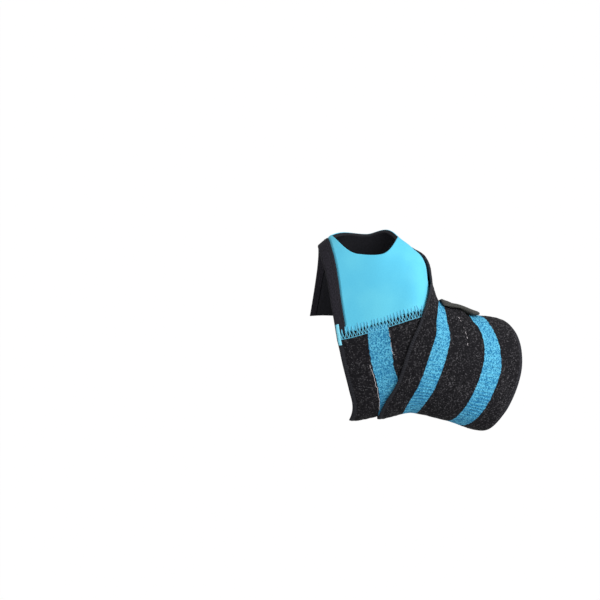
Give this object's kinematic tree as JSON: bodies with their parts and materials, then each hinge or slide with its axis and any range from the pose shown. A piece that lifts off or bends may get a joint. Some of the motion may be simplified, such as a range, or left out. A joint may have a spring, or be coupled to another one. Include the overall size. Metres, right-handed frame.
{
  "type": "wrist wrap",
  "caption": "Elastic wrist wrap with a thumb hole panel, wound round hand and wrist and closed by a hook tab on the back.",
  "frame": {"origin": "middle of the wrist, on the forearm's axis", "axes": "+X along the forearm towards the elbow, +Y to the back of the hand, +Z to the thumb side"},
  "size_m": [0.109, 0.0818, 0.1094],
  "materials": {
    "panel": "smooth light-blue knit over black foam",
    "binding": "matt black tape",
    "strap": "looped elastic knit, black with two blue stripes",
    "tab": "dark grey hook tape"
  },
  "bodies": {
    "root": {"thumb_panel": "panel", "edge_binding": "binding", "elastic_strap": "strap", "hook_tab": "tab"}
  },
  "joints": []
}
